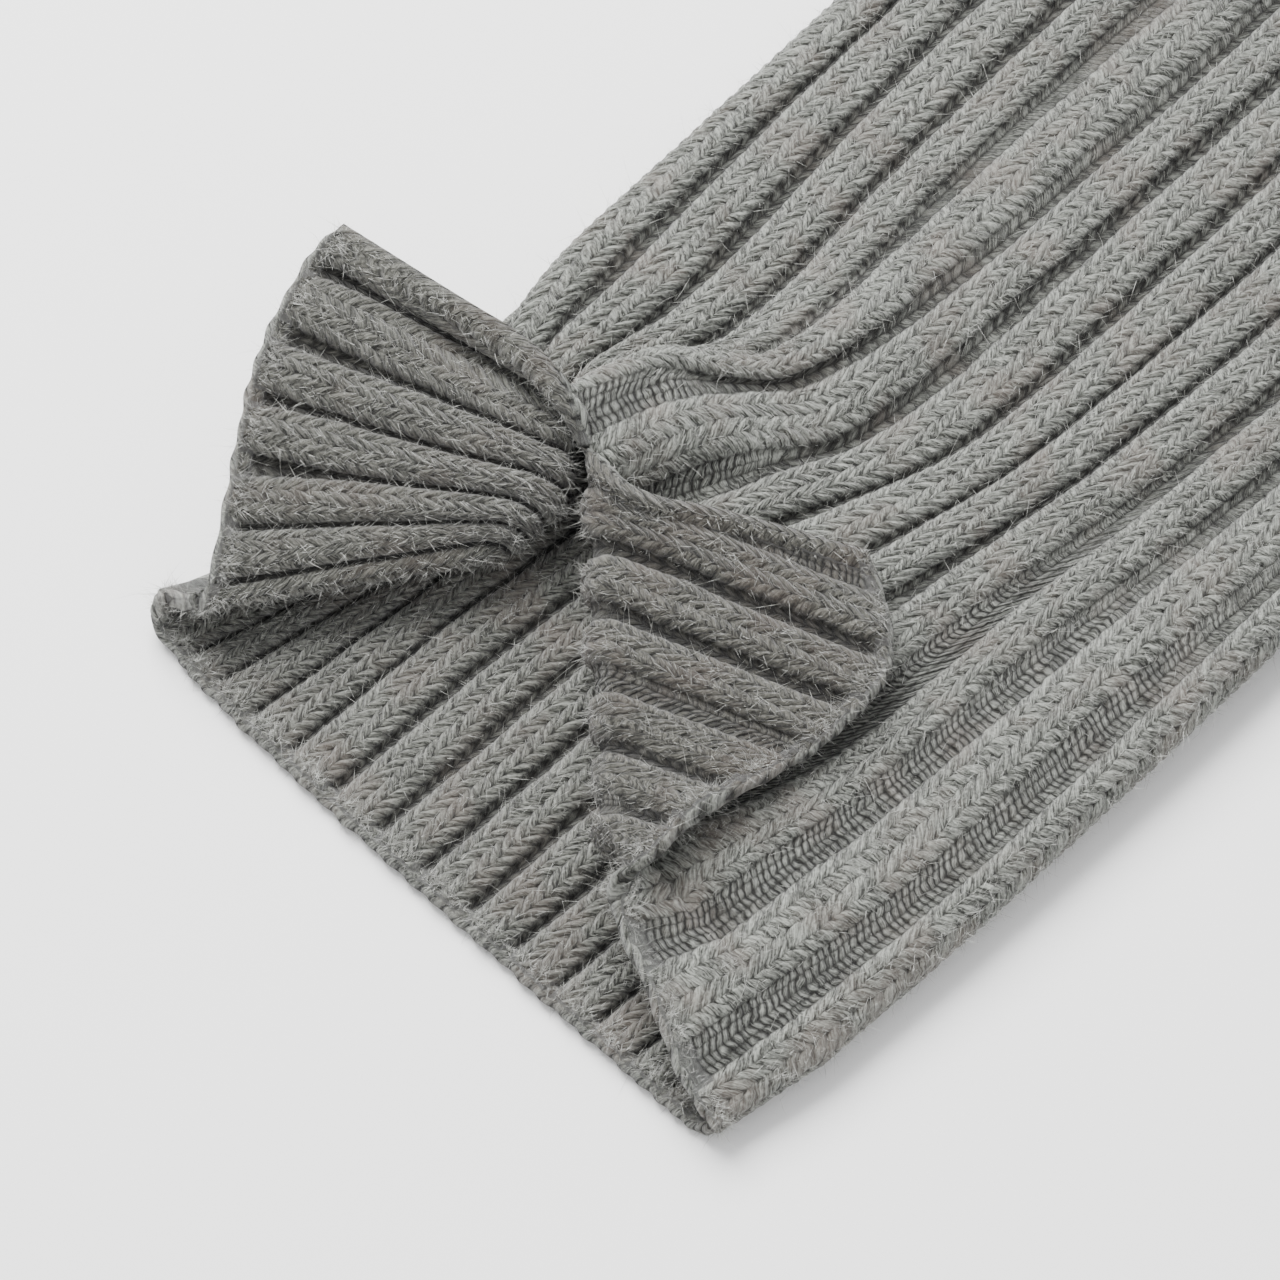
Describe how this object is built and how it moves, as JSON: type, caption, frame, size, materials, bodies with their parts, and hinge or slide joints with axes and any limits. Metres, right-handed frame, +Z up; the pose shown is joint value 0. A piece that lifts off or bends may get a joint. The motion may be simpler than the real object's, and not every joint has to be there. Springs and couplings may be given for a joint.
{
  "type": "pair of ribbed knit leg warmers",
  "caption": "Pair of grey ribbed knit leg warmers laid flat, each an open tube with a slit at one hem, one slit spread open and folded back.",
  "frame": {"origin": "middle of the pair's bounding box, on the surface the pair lies on", "axes": "+Z up from the surface, +Y along both tubes from the slit hem to the plain far end, +X from the spread leg warmer to the closed one"},
  "size_m": [0.3098, 0.5276, 0.0336],
  "materials": {
    "rib_knit": "matt mid-grey melange two-by-two rib knit, slightly fuzzy"
  },
  "bodies": {
    "root": {"leg_warmer_slit_open": "rib_knit", "leg_warmer_slit_closed": "rib_knit"}
  },
  "joints": []
}
